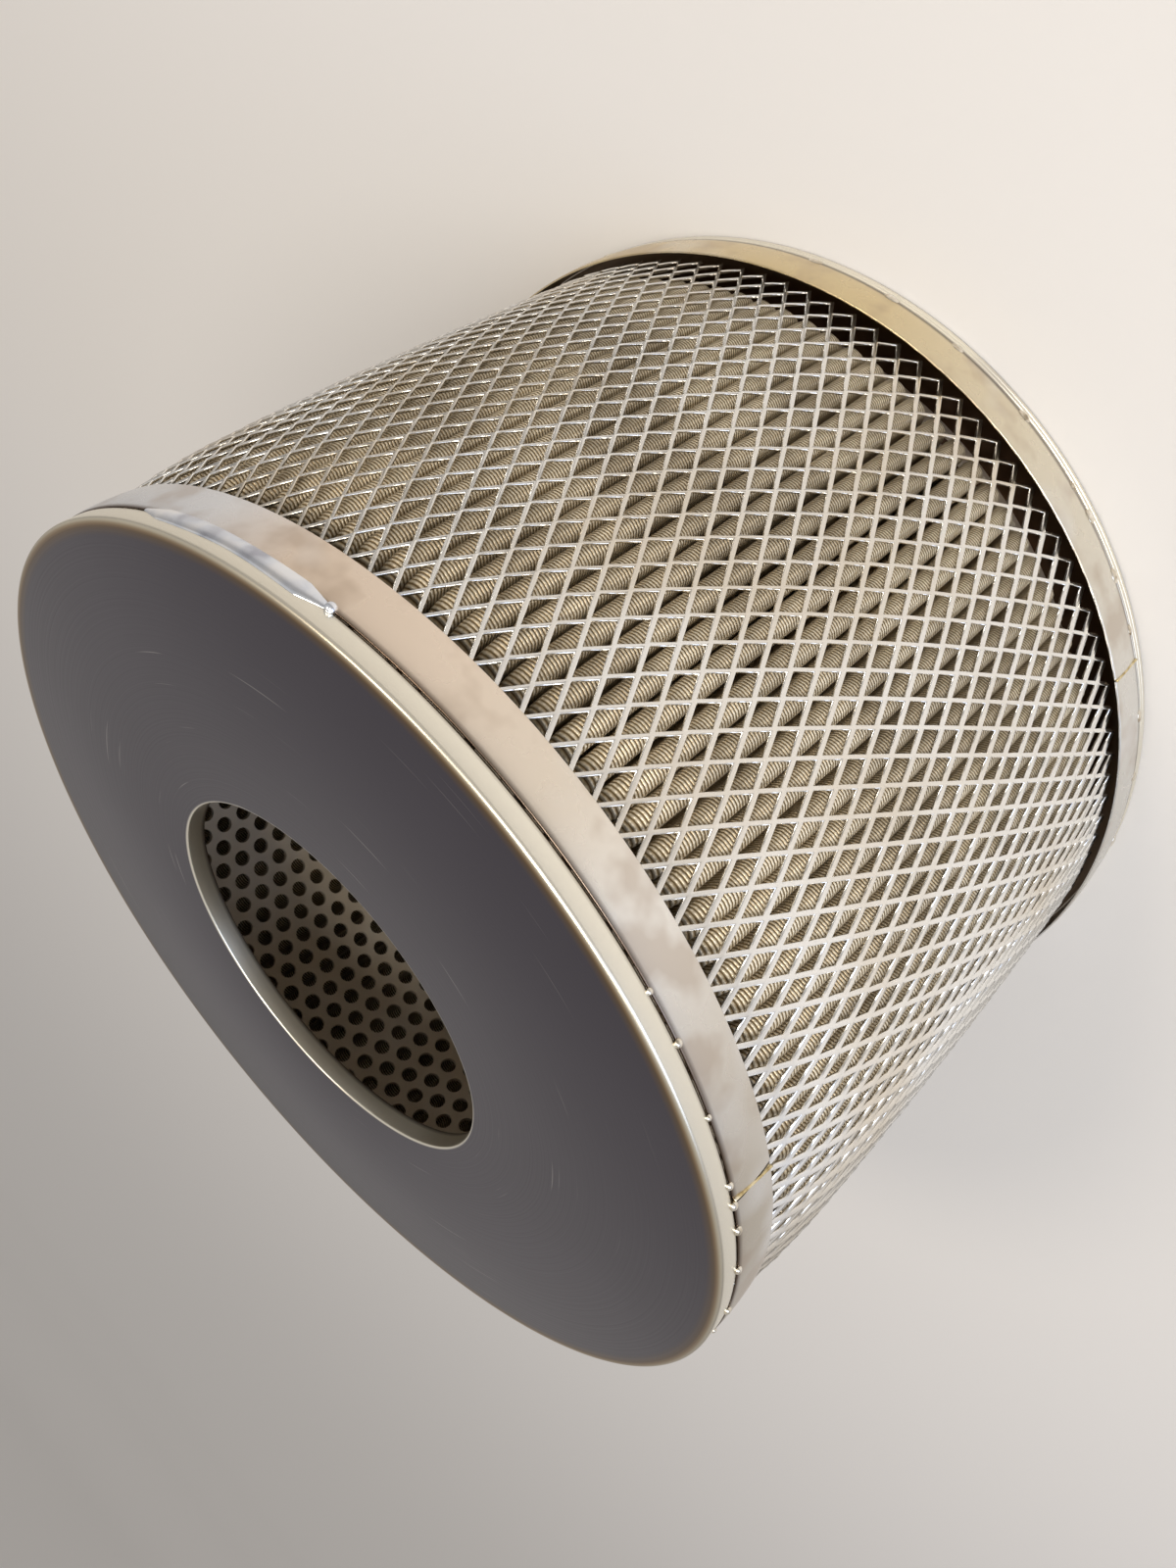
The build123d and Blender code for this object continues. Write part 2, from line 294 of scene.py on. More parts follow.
def band_steel(colours, name, stops, seams):
    # Stainless strip, cold rolled: a bright even satin with pale and tan clouds, and straw heat tint that
    # follows the angle to the seam weld; the front band's near-white and bluish tints round the turn are
    # painted reflection.
    made, tree, shader = finish(name, 1.0, 0.28)
    place, _, turn, z = spots(tree)
    share = add(tree, MATH, turn, 1 / tau, 0.5, operation="MULTIPLY_ADD")
    plain = tuple(colours.band)
    # The stops round the turn hold heat tint and, on the front band, painted reflection.
    tone = add(tree, RAMP, share, stops=[(0.0, plain), *stops, (1.0, plain)])
    cloud = add(tree, NOISE, place, 70.0, 3.0)
    tan = add(tree, RAMP, cloud, stops=[(0.5, BLACK), (0.64, WHITE)])
    pale = add(tree, RAMP, add(tree, NOISE, place, 33.0), stops=[(0.55, BLACK), (0.68, WHITE)])
    tone = coated(tree, tone, (tan, 0.4, colour("b09a84")), (pale, 0.5, colour("eef0f2")))
    # Painted shade: a dark brown line in the groove at each seam.
    tree.links.new(seam_groove_shade(tree, z, tone, seams, colour("5a4636")), shader.inputs["Base Color"])
    tree.links.new(add(tree, MATH, cloud, 0.16, 0.2, operation="MULTIPLY_ADD"), shader.inputs["Roughness"])
    grain = add(tree, NOISE, place, 1200.0)
    tree.links.new(add(tree, BUMP, 0.15, SCRATCH_DEPTH, None, grain), shader.inputs["Normal"])
    return made


def guard_steel(colours):
    # Expanded stainless sheet, slit and stretched in a press: bright strands whose leaning faces catch the
    # light by turns, with a brown film here and there.
    made, tree, shader = finish("expanded_stainless_sheet", 1.0, 0.22)
    place = spots(tree)[0]
    film_and_fold_shade = add(tree, RAMP, add(tree, NOISE, place, 26.0), stops=[(0.42, BLACK), (0.66, WHITE)])
    grain = add(tree, NOISE, place, 1500.0)
    bright = tuple(colours.guard)
    tone = coated(tree, bright, (film_and_fold_shade, 0.5, colour("dccdb2")), (grain, 0.2, colour("b0a592")))
    tree.links.new(tone, shader.inputs["Base Color"])
    return made


def cloth_steel(colours):
    # Woven stainless wire cloth: a row of knuckles along every crest, with a painted highlight on their tops,
    # painted shade between the wires and painted shade down in the folds. The real cross wires lie about 0.65
    # mm apart and are drawn
    # 0.85 mm apart, so that they show.
    made, tree, shader = finish("woven_stainless_cloth", 0.35, 0.38)
    flat = add(tree, "ShaderNodeTexCoord").node.outputs["UV"]
    waves = []
    for side, spacing in zip(add(tree, SPLIT, flat).node.outputs, WIRE_SPACING):
        travel = add(tree, MATH, side, pi / spacing, operation="MULTIPLY")
        swing = add(tree, MATH, travel, operation="SINE")
        waves.append(add(tree, MATH, swing, operation="ABSOLUTE"))
    along = add(tree, MATH, waves[0], 0.2, 0.8, operation="MULTIPLY_ADD")
    height = add(tree, MATH, waves[1], along, operation="MULTIPLY")
    # Painted highlight on the knuckle tops and painted shade between the wires, set by the weave's height.
    knuckle_highlight_and_shade = [(0.12, "6a5638"), (0.38, "a08a66"), (0.62, "dccdac"), (0.9, tuple(colours.cloth))]
    place, reach = spots(tree)[:2]
    # Painted shade: the folds turn brown the deeper they lie towards the tube.
    depth = add(tree, MATH, reach, -SHADE_RATE, SHADE_START * SHADE_RATE, operation="MULTIPLY_ADD")
    deep = add(tree, "ShaderNodeClamp", depth, 0.0, 1.0)
    stain = add(tree, RAMP, add(tree, NOISE, place, 38.0, 3.0), stops=[(0.42, BLACK), (0.62, WHITE)])
    tone = add(tree, RAMP, height, stops=knuckle_highlight_and_shade)
    tone = coated(tree, tone, (deep, 0.45, tuple(colours.film_and_fold_shade)), (stain, 0.4, colour("6f5d42")))
    tree.links.new(tone, shader.inputs["Base Color"])
    tree.links.new(add(tree, BUMP, 1.0, WIRE_DEPTH, None, height), shader.inputs["Normal"])
    return made


def tube_steel(colours):
    # Perforated stainless sheet, mill finish: dull beige metal under a thin brown film.
    made, tree, shader = finish("perforated_stainless_sheet", 0.3, 0.4)
    cloud = add(tree, NOISE, spots(tree)[0], 45.0)
    tone = coated(tree, tuple(colours.tube), (cloud, 1.0, colour("e2cdac")))
    tree.links.new(tone, shader.inputs["Base Color"])
    return made


def weld_metal(name, stops, roughness, scale):
    # Stainless weld metal, cast smooth and shiny, in the colours that its own heat left.
    made, tree, shader = finish(name, 1.0, roughness)
    cloud = add(tree, NOISE, spots(tree)[0], scale)
    tree.links.new(add(tree, RAMP, cloud, stops=stops), shader.inputs["Base Color"])
    return made


def studio_paper(name, tone):
    # Rolled studio paper: matt and even, with no gloss.
    made, _, shader = finish(name, 0.0, 0.95, tone)
    shader.inputs["Specular IOR Level"].default_value = 0.1
    return made


# Shapes


def on_part(radius, angle, height):
    """A point at a radius, an angle and a height."""
    return Vector((radius * cos(angle), radius * sin(angle), height))


def settle(bm, name, material, crease=None):
    """A mesh object from a bmesh, shaded smooth with edges over the crease angle kept sharp."""
    bmesh.ops.recalc_face_normals(bm, faces=bm.faces)
    mesh = bpy.data.meshes.new(name)
    bm.to_mesh(mesh)
    bm.free()
    mesh.materials.append(material)
    mesh.shade_smooth()
    if crease is not None:
        mesh.set_sharp_from_angle(angle=crease)
    made = bpy.data.objects.new(name, mesh)
    bpy.context.scene.collection.objects.link(made)
    return made


TURN_STEPS = 288  # steps of a turned piece round the axis


def spun(bm, angle, steps, **how):
    """Spin all of a bmesh round the axis, and weld what then meets."""
    bmesh.ops.spin(
        bm,
        geom=bm.verts[:] + bm.edges[:] + bm.faces[:],
        cent=(0, 0, 0),
        axis=(0, 0, 1),
        dvec=(0, 0, 0),
        angle=angle,
        steps=steps,
        **how,
    )
    bmesh.ops.remove_doubles(bm, verts=bm.verts, dist=1e-6)


def turned(outline, rounds, start=0.0, arc=tau):
    """A bmesh spun round the axis from a closed outline of radius and height, with corners rounded."""
    bm = bmesh.new()
    corners = [bm.verts.new(on_part(radius, start, height)) for radius, height in outline]
    bm.faces.new(corners)
    for corner, size in zip(corners, rounds):
        if size:
            bmesh.ops.bevel(
                bm,
                geom=[corner],
                offset=size,
                offset_type="OFFSET",
                segments=4,
                profile=0.5,
                affect="VERTICES",
                material=-1,
            )
    bmesh.ops.delete(bm, geom=bm.faces[:], context="FACES_ONLY")
    spun(bm, arc, TURN_STEPS, use_merge=arc == tau)
    if arc != tau:
        bmesh.ops.holes_fill(bm, edges=[e for e in bm.edges if e.is_boundary], sides=0)
    return bm


# Height and mid radius of the guard, in metres: a slight belly, then in under the front band.
GUARD_MARKS = [
    (0.0150, 0.12860),
    (0.0400, 0.12895),
    (0.0750, 0.12905),
    (0.1050, 0.12865),
    (0.1300, 0.12795),
    (0.1480, 0.12715),
    (0.1580, 0.12620),
    (0.1650, 0.12510),
    (0.1705, 0.12395),
    (0.1780, 0.12375),
]


def guard_radius(height):
    """Mid radius of the guard at a height, read between its marks."""
    if height <= GUARD_MARKS[0][0]:
        return GUARD_MARKS[0][1]
    for (low, first), (high, second) in zip(GUARD_MARKS, GUARD_MARKS[1:]):
        if height <= high:
            share = (height - low) / (high - low)
            return first + (second - first) * share
    return GUARD_MARKS[-1][1]


def thicken(bm, depth):
    """Give a sheet its wall, so far out from the axis or, if negative, in towards it."""
    sheet = bm.verts[:] + bm.edges[:] + bm.faces[:]
    wall = bmesh.ops.extrude_face_region(bm, geom=sheet, use_keep_orig=True)
    for item in wall["geom"]:
        if isinstance(item, bmesh.types.BMVert):
            radius = item.co.xy.length
            item.co.xy *= (radius + depth) / radius


TILT_SPAN = 0.0025  # distance from the middle of a diamond at which its tilt is full, in metres
STRAND_ROUND = 0.00022  # rounding of the strands' outer edges, in metres
STRAND_CORNER = 1.0  # turn over which an edge of a strand is a corner, in radians


def expanded_sheet(sizes):
    """The guard: diamonds inset to their openings, each strand tilted as the press leaves it."""
    bm = bmesh.new()
    half_step = pi / sizes.columns
    bonds = {}

    def bond(column, row):
        key = (column % (2 * sizes.columns), row)
        if key not in bonds:
            height = sizes.tip_height + row * sizes.half_row
            angle = sizes.phase + column * half_step
            bonds[key] = bm.verts.new(on_part(guard_radius(height), angle, height))
        return bonds[key]

    for row in range(sizes.half_rows + 1):
        for column in range((row + 1) % 2, 2 * sizes.columns, 2):
            corners = ((column, row + 1), (column - 1, row), (column, row - 1), (column + 1, row))
            bm.faces.new([bond(*corner) for corner in corners])
    openings = bm.faces[:]
    bm.normal_update()
    bmesh.ops.inset_individual(bm, faces=openings, thickness=sizes.strand / 2, use_even_offset=True)
    for opening in openings:
        middle = opening.calc_center_median()
        around = Vector((-middle.y, middle.x, 0)).normalized()
        for corner in opening.verts:
            side = (corner.co - middle).dot(around) / TILT_SPAN
            radius = guard_radius(corner.co.z) + sizes.tilt * max(-1.0, min(1.0, side))
            corner.co.xy *= radius / corner.co.xy.length
    bmesh.ops.delete(bm, geom=openings, context="FACES_ONLY")
    last = sizes.tip_height + sizes.half_rows * sizes.half_row
    beyond = [f for f in bm.faces if not sizes.tip_height < f.calc_center_median().z < last]
    bmesh.ops.delete(bm, geom=beyond, context="FACES")
    thicken(bm, -sizes.thickness)
    bmesh.ops.recalc_face_normals(bm, faces=bm.faces)
    rims = []
    for edge in bm.edges:
        if len(edge.link_faces) == 2 and edge.calc_face_angle() > STRAND_CORNER:
            middle = (edge.verts[0].co + edge.verts[1].co) / 2
            if middle.xy.length > guard_radius(middle.z) - sizes.thickness / 2:
                rims.append(edge)
    bmesh.ops.bevel(
        bm,
        geom=rims,
        offset=STRAND_ROUND,
        offset_type="OFFSET",
        segments=1,
        profile=0.5,
        affect="EDGES",
        clamp_overlap=True,
        material=-1,
    )
    return bm


# One fold of the cloth, from valley to valley: offset from its middle in millimetres, share of its depth.
FOLD = [
    (-3.3, 0.0),
    (-3.02, 0.06),
    (-2.85, 0.3),
    (-2.85, 0.62),
    (-2.95, 0.80),
    (-2.5, 0.91),
    (-1.3, 0.98),
    (0.0, 1.0),
    (1.3, 0.98),
    (2.5, 0.91),
    (2.95, 0.80),
    (2.85, 0.62),
    (2.85, 0.3),
    (3.02, 0.06),
]
NEXT_FOLD = (3.6, 0.0)
FOLD_DEPTH = 14.0  # depth of a fold, for the length of its cloth, in millimetres
CREST_GAP = 0.0010  # from the guard's mid radius to the crests, in metres
END_RISE = 0.0030  # height of the folds over the tube at their ends, in metres
ROOT_GAP = 0.0006  # from the tube to the valleys, in metres
REAR_DOME, FRONT_DOME = 0.0075, 0.006  # length over which the crests come down at each end, in metres
END_STEPS = [0, 0.0005, 0.0016, 0.0034, 0.006, 0.0095]  # rings of the domed ends, in metres from the end
BODY_START = 0.013  # where the evenly spaced rings start, in metres from either end
BODY_STEPS = 14
LEAN, WANDER, DIP = 0.00032, 0.00026, 0.00035  # how far a crest leans, wanders and dips, in metres


def crest_radius(media, height):
    """Radius of the pleats' crests: just inside the guard, and domed down onto the tube at both ends."""
    body = guard_radius(height) - CREST_GAP
    base = media.tube_radius + media.tube_wall + END_RISE
    for end, reach in ((media.rear_end, REAR_DOME), (media.front_end, FRONT_DOME)):
        gap = abs(height - end)
        if gap < reach:
            body = base + (body - base) * sqrt(max(0.0, 1 - (1 - gap / reach) ** 2))
    return body


def pleated_cloth(media):
    """The folded cloth: a grid drawn into rounded folds that wander a little, then given its thickness."""
    folds = len(FOLD)
    run = [0.0]
    for first, second in zip(FOLD, FOLD[1:] + [NEXT_FOLD]):
        rise = FOLD_DEPTH * (second[1] - first[1])
        run.append(run[-1] + sqrt((second[0] - first[0]) ** 2 + rise**2))
    body = media.front_end - media.rear_end - 2 * BODY_START
    heights = [media.rear_end + m for m in END_STEPS]
    heights += [media.rear_end + BODY_START + body * n / BODY_STEPS for n in range(BODY_STEPS + 1)]
    heights += [media.front_end - m for m in reversed(END_STEPS)]
    chance = Random(7)
    sway = [[chance.uniform(-1, 1) for _ in range(5)] for _ in range(media.pleats)]
    root = media.tube_radius + media.tube_wall + ROOT_GAP
    bm = bmesh.new()
    uv = bm.loops.layers.uv.new("UVMap")
    across, up = media.pleats * folds, len(heights) - 1
    bmesh.ops.create_grid(bm, x_segments=across, y_segments=up, size=0.5)
    spot = {v: (round((v.co.x + 0.5) * across), round((v.co.y + 0.5) * up)) for v in bm.verts}
    for face in bm.faces:
        first = min(spot[v][0] for v in face.verts)
        for loop in face.loops:
            column, row = spot[loop.vert]
            start = first // folds
            reach = run[column - start * folds]
            loop[uv].uv = (start * run[-1] + reach, heights[row] * 1000)
    for corner, (column, row) in spot.items():
        pleat, slot = divmod(column % across, folds)
        height = heights[row]
        crest = crest_radius(media, height)
        a, b, c, d, e = sway[pleat]
        wave = height * 40
        side = LEAN * (a + b * sin(wave + c * pi)) + WANDER * d * sin(wave * 2.3 + e * pi)
        crest -= DIP * (1 + d * cos(wave * 1.4 + a * pi))
        offset, share = FOLD[slot]
        radius = root + share * (crest - root)
        angle = (pleat + 0.5) * tau / media.pleats + (offset * 0.001 + side * share) / radius
        corner.co = on_part(radius, angle, height)
    bmesh.ops.remove_doubles(bm, verts=bm.verts, dist=1e-7)
    thicken(bm, -media.cloth)
    return bm


def perforated_sheet(media, low, high):
    """The tube: one hole and the sheet round it, laid up in two columns and spun round, with plain ends."""
    bm = bmesh.new()
    step = tau / media.hole_rows
    half_width = media.tube_radius * step / 2
    half_pitch = media.hole_pitch / 2
    bottom = (low + high) / 2 - (media.holes_per_row + 0.5) * half_pitch
    bmesh.ops.create_circle(bm, segments=12, radius=media.hole_radius)
    marks = [(1, -1), (1, 0), (1, 1), (-1, 1), (-1, 0), (-1, -1)]
    brick = [bm.verts.new((x * half_width, y * half_pitch, 0)) for x, y in marks]
    for first, second in zip(brick, brick[1:] + brick[:1]):
        bm.edges.new((first, second))
    bmesh.ops.bridge_loops(bm, edges=bm.edges[:])
    cell = bm.verts[:] + bm.edges[:] + bm.faces[:]
    for number in range(1, media.holes_per_row):
        more = bmesh.ops.duplicate(bm, geom=cell)["geom"]
        raised = [item for item in more if isinstance(item, bmesh.types.BMVert)]
        bmesh.ops.translate(bm, verts=raised, vec=(0, number * media.hole_pitch, 0))
    bmesh.ops.remove_doubles(bm, verts=bm.verts, dist=1e-7)
    first_column = bm.verts[:] + bm.edges[:] + bm.faces[:]
    more = bmesh.ops.duplicate(bm, geom=first_column)["geom"]
    beside = [item for item in more if isinstance(item, bmesh.types.BMVert)]
    bmesh.ops.translate(bm, verts=beside, vec=(2 * half_width, half_pitch, 0))
    bmesh.ops.translate(bm, verts=bm.verts, vec=(0, bottom + half_pitch, 0))
    top = bottom + media.holes_per_row * media.hole_pitch
    left, right, both = {"left"}, {"right"}, {"left", "right"}
    for height, columns, goal in (
        (bottom + half_pitch, right, bottom),
        (top, left, top + half_pitch),
        (bottom, both, low),
        (top + half_pitch, both, high),
    ):
        edges = []
        for edge in bm.edges:
            column = "right" if sum(v.co.x for v in edge.verts) > 2 * half_width else "left"
            if column in columns and all(abs(v.co.y - height) < 1e-6 for v in edge.verts):
                edges.append(edge)
        for item in bmesh.ops.extrude_edge_only(bm, edges=edges)["geom"]:
            if isinstance(item, bmesh.types.BMVert):
                item.co.y = goal
    for corner in bm.verts:
        corner.co = on_part(media.tube_radius, corner.co.x / media.tube_radius, corner.co.y)
    spun(bm, tau - 2 * step, media.hole_rows // 2 - 1, use_duplicate=True)
    thicken(bm, media.tube_wall)
    return bm


def beads(angles, radius, height, chance, long=0.0010, wide=0.0009, deep=0.0007):
    """Small domed tack welds at some angles in a seam."""
    bm = bmesh.new()
    for angle in angles:
        size = chance.uniform(0.75, 1.2)
        turn = Matrix.Rotation(angle, 4, "Z")
        place = turn @ Matrix.Translation((radius, 0, height + chance.uniform(-0.0003, 0.0003)))
        shape = place @ Matrix.Diagonal((deep * size, long * size, wide * size, 1))
        bmesh.ops.create_uvsphere(bm, u_segments=14, v_segments=9, radius=1.0, matrix=shape)
    return bm


RUN_STEP = 0.0003  # length of a step along the weld run, in metres
RUN_HALF_WIDTH, RUN_CROWN, RUN_WALL = 0.0022, 0.0006, 0.0006  # section of the weld run, in metres
RUN_SINK = 0.0002  # how far the run's edges lie below the band's face, in metres
RIPPLE_LENGTH, RIPPLE_HEIGHT, RIPPLE_BOW = 0.0016, 0.00001, 0.0008  # its ripples, in metres
KNOB_RADIUS = 0.0013  # knob where the run ends, in metres


def bead_run(start, end, radius, height):
    """A run of weld metal along an arc: a rippled skin over the seam that ends in a knob."""
    bm = bmesh.new()
    steps = int((end - start) * radius / RUN_STEP)
    bmesh.ops.create_grid(bm, x_segments=steps, y_segments=12, size=0.5)
    for corner in bm.verts:
        share, side = corner.co.x + 0.5, 2 * corner.co.y
        travel = share * (end - start) * radius
        taper = min(1.0, 0.25 + 6 * min(share, 1 - share))
        arch = 1 - side * side
        wave = sin((travel - RIPPLE_BOW * arch) / RIPPLE_LENGTH * tau)
        rise = RUN_CROWN * taper * arch + RIPPLE_HEIGHT * wave * arch - RUN_SINK
        width = RUN_HALF_WIDTH * taper * (1 + 0.05 * sin(share * 11))
        lean = 0.0001 * sin(share * 9)
        corner.co = on_part(radius + rise, start + (end - start) * share, height + lean + width * side)
    thicken(bm, -RUN_WALL)
    knob = Matrix.Rotation(start, 4, "Z") @ Matrix.Translation((radius, 0, height))
    bmesh.ops.create_uvsphere(bm, u_segments=16, v_segments=10, radius=KNOB_RADIUS, matrix=knob)
    return bm


LINE_CROWN = 0.0003  # rise of the joint's weld over the band, in metres


def joint_line(sizes, radius, low, first, last):
    """The raised line of weld in a band's joint, from one angle at its low edge to another at its high."""
    bm = bmesh.new()
    bmesh.ops.create_grid(bm, x_segments=6, y_segments=24, size=0.5)
    for corner in bm.verts:
        side, share = 2 * corner.co.x, corner.co.y + 0.5
        swell = 1 + 0.12 * sin(share * 40)
        angle = first + (last - first) * share + side * sizes.joint_gap / 2 * swell / radius
        rise = LINE_CROWN * (1 - side * side)
        corner.co = on_part(radius + rise, angle, low + sizes.band_width * share)
    thicken(bm, -sizes.band_sheet)
    return bm


def stands_for(piece, slot, *nodes):
    """The piece takes the place of these nodes and goes with the part."""
    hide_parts(*nodes)
    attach(piece, "root")


# Operators

SEAM_CHAMFER = 0.0006  # chamfer of a plate towards its band, in metres
CREASE = radians(30)  # sharpest turn that is still shaded smooth on plates and bands

# Tints of each band round its turn, as share of the turn and colour: straw heat tint near the welds, then
# grey; the front band's near-white and bluish stops are painted reflection.
FRONT_TINTS_AND_REFLECTIONS = [
    (0.12, "c4bcae"),
    (0.17, "d8d2c8"),
    (0.22, "f2efe9"),
    (0.25, "e6dccd"),
    (0.29, "ebdccb"),
    (0.335, "e8d7c5"),
    (0.37, "e4e6ea"),
    (0.43, "d3d6dc"),
]
REAR_TINTS = [(0.16, "e0dfdb"), (0.24, "e3dcca"), (0.31, "ddcba2"), (0.42, "d4c096"), (0.6, "c9c4ba")]

# Angles of the tack welds that are seen, in degrees.
FRONT_TACKS = [-106.9, -112.2, -120.1, -128.5, -131.2, -135.0, -141.8]
REAR_TACKS = [-27.1, -58.7, -69.0, -78.4, -88.8, -98.1, -101.9, -109.1, -115.8]


class CARTRIDGE_OT_plates(Operator):
    """Turn the bored front plate and the blind rear plate"""

    bl_idname = "cartridge.plates"
    bl_label = "Plates"

    def execute(self, context):
        sizes = context.scene.cartridge_sizes
        top, radius, bore = sizes.height, sizes.front_radius, sizes.bore_radius
        base, thick, cut = top - sizes.front_thickness, sizes.rear_thickness, SEAM_CHAMFER
        steel = plate_steel(context.scene.cartridge_colours, (base, thick))
        outline = [(bore, base), (radius - cut, base), (radius, base + cut), (radius, top), (bore, top)]
        bm = turned(outline, [0, 0, 0.0002, 0.0010, 0.0005])
        stands_for(settle(bm, "front_plate_turned", steel, CREASE), "plate", "front_plate")
        radius = sizes.rear_radius
        # Two fine grooves run round the rim of the rear plate.
        outline = [
            (0, 0),
            (radius, 0),
            (radius, 0.0016),
            (radius - 0.0003, 0.0018),
            (radius, 0.0020),
            (radius, 0.0030),
            (radius - 0.0003, 0.0032),
            (radius, 0.0034),
            (radius, thick - cut),
            (radius - cut, thick),
            (0, thick),
        ]
        bm = turned(outline, [0, 0.0008, 0, 0, 0, 0, 0, 0, 0, 0, 0])
        stands_for(settle(bm, "rear_plate_turned", steel, CREASE), "plate", "rear_plate")
        return {"FINISHED"}


class CARTRIDGE_OT_bands(Operator):
    """Roll the two end bands, each open at its joint"""

    bl_idname = "cartridge.bands"
    bl_label = "Bands"

    def execute(self, context):
        sizes, colours = context.scene.cartridge_sizes, context.scene.cartridge_colours
        height = sizes.height - sizes.front_thickness
        for name, node, radius, low, high, joint, stops in (
            (
                "front_band_rolled",
                "front_band",
                sizes.front_radius,
                height - sizes.band_width,
                height,
                sizes.front_joint,
                FRONT_TINTS_AND_REFLECTIONS,
            ),
            (
                "rear_band_rolled",
                "rear_band",
                sizes.rear_radius,
                sizes.rear_thickness,
                sizes.rear_thickness + sizes.band_width,
                sizes.rear_joint,
                REAR_TINTS,
            ),
        ):
            outer = radius + sizes.band_step
            inner = outer - sizes.band_sheet
            gap = sizes.joint_gap / outer
            # The strip's face is bowed a little and its edges are rounded over.
            bm = turned(
                [
                    (inner, low),
                    (outer - 0.00030, low),
                    (outer - 0.00010, low + 0.0025),
                    (outer, (low + high) / 2),
                    (outer - 0.00010, high - 0.0025),
                    (outer - 0.00035, high),
                    (inner, high),
                ],
                [0, 0.0002, 0, 0, 0, 0.00025, 0],
                start=joint + gap / 2,
                arc=tau - gap,
            )
            seam = high if node == "front_band" else low
            steel = band_steel(colours, name.replace("rolled", "strip"), stops, (seam,))
            stands_for(settle(bm, name, steel, CREASE), "band", node)
        return {"FINISHED"}


class CARTRIDGE_OT_guard(Operator):
    """Roll the expanded metal guard"""

    bl_idname = "cartridge.guard"
    bl_label = "Guard"

    def execute(self, context):
        bm = expanded_sheet(context.scene.cartridge_guard)
        steel = guard_steel(context.scene.cartridge_colours)
        stands_for(settle(bm, "guard_mesh", steel), "guard", "outer_guard")
        return {"FINISHED"}


class CARTRIDGE_OT_media(Operator):
    """Fold the woven cloth into pleats"""

    bl_idname = "cartridge.media"
    bl_label = "Pleats"

    def execute(self, context):
        bm = pleated_cloth(context.scene.cartridge_media)
        steel = cloth_steel(context.scene.cartridge_colours)
        stands_for(settle(bm, "pleated_cloth", steel, radians(60)), "media", "filter_media")
        return {"FINISHED"}


class CARTRIDGE_OT_tube(Operator):
    """Roll the perforated inner tube"""

    bl_idname = "cartridge.tube"
    bl_label = "Tube"

    def execute(self, context):
        sizes, media = context.scene.cartridge_sizes, context.scene.cartridge_media
        bm = perforated_sheet(media, sizes.rear_thickness, sizes.height - sizes.front_thickness)
        steel = tube_steel(context.scene.cartridge_colours)
        stands_for(settle(bm, "tube_perforated", steel, radians(40)), "tube", "inner_tube")
        return {"FINISHED"}


class CARTRIDGE_OT_welds(Operator):
    """Lay the tack welds, the seam run and the two joint lines"""

    bl_idname = "cartridge.welds"
    bl_label = "Welds"

    def execute(self, context):
        sizes = context.scene.cartridge_sizes
        tints = [(0.3, "8a7a62"), (0.45, "d9d0be"), (0.7, "fbf8f0")]
        tack = weld_metal("stainless_tack_weld", tints, 0.2, 420.0)
        tints = [(0.25, "b9bcc8"), (0.42, "e2e8f2"), (0.6, tuple(context.scene.cartridge_colours.weld))]
        bright = weld_metal("stainless_weld_run", tints, 0.2, 130.0)
        tints = [(0.3, "a08a5e"), (0.5, "dccb9c"), (0.7, "f3ead0")]
        metal = weld_metal("stainless_joint_weld", tints, 0.25, 420.0)
        chance = Random(3)
        seam = sizes.height - sizes.front_thickness
        # Past the seen tacks the rest go on round, a little unevenly spaced.
        angles = [radians(a) for a in FRONT_TACKS]
        angles += [radians(-150 - 8 * n + chance.uniform(-1.5, 1.5)) for n in range(21)]
        bm = beads(angles, sizes.front_radius + 0.0001, seam, chance)
        stands_for(settle(bm, "front_tacks", tack), "weld", "front_tack_welds")
        angles = [radians(a) for a in REAR_TACKS]
        angles += [radians(-126 - 10 * n + chance.uniform(-1, 1)) for n in range(26)]
        bm = beads(angles, sizes.rear_radius, sizes.rear_thickness, chance, 0.0021, 0.0013, 0.0007)
        stands_for(settle(bm, "rear_tacks", tack), "weld", "rear_tack_welds")
        bm = bead_run(radians(-66.1), radians(-39.8), sizes.front_radius + 0.0003, seam)
        stands_for(settle(bm, "front_run", bright), "weld", "front_seam_weld")
        for name, node, radius, low, joint, lean in (
            (
                "front_joint_line",
                "front_joint_weld",
                sizes.front_radius,
                seam - sizes.band_width,
                sizes.front_joint,
                radians(0.6),
            ),
            (
                "rear_joint_line",
                "rear_joint_weld",
                sizes.rear_radius,
                sizes.rear_thickness,
                sizes.rear_joint,
                0.0,
            ),
        ):
            bm = joint_line(sizes, radius + sizes.band_step, low, joint - lean, joint + lean)
            stands_for(settle(bm, name, metal), "weld", node)
        return {"FINISHED"}


# Name, place in metres, size in metres, power in watts and colour of each lamp.
LAMPS = [
    ("key", (0.6, -0.4, 1.3), 0.4, 5.0, "fff0dc"),
    ("fill", (-1.1, -0.9, 0.7), 0.9, 6.0, "cfe0ff"),
    ("front", (-0.12, -0.45, 0.72), 0.35, 3.2, "fffaf2"),
]
AIM = (0, 0, 0.09)
ROOM_LIGHT = 0.76
# The floor is a wide low dish, as radius and height in metres.
FLOOR_SWEEP = [(0, -0.0002), (6.0, -0.0002), (7.0, 0.12), (7.7, 0.5), (8.0, 1.2)]
# The camera, fitted to the circles of plates, bore and bands: place in metres, focal length in millimetres.
VIEWPOINT = (0, -0.29929, 0.28492)
VIEW_RIGHT = (-0.61765, -0.43775, -0.65336)
VIEW_UP = (0.78642, -0.33597, -0.51833)
FOCAL_LENGTH = 27.37


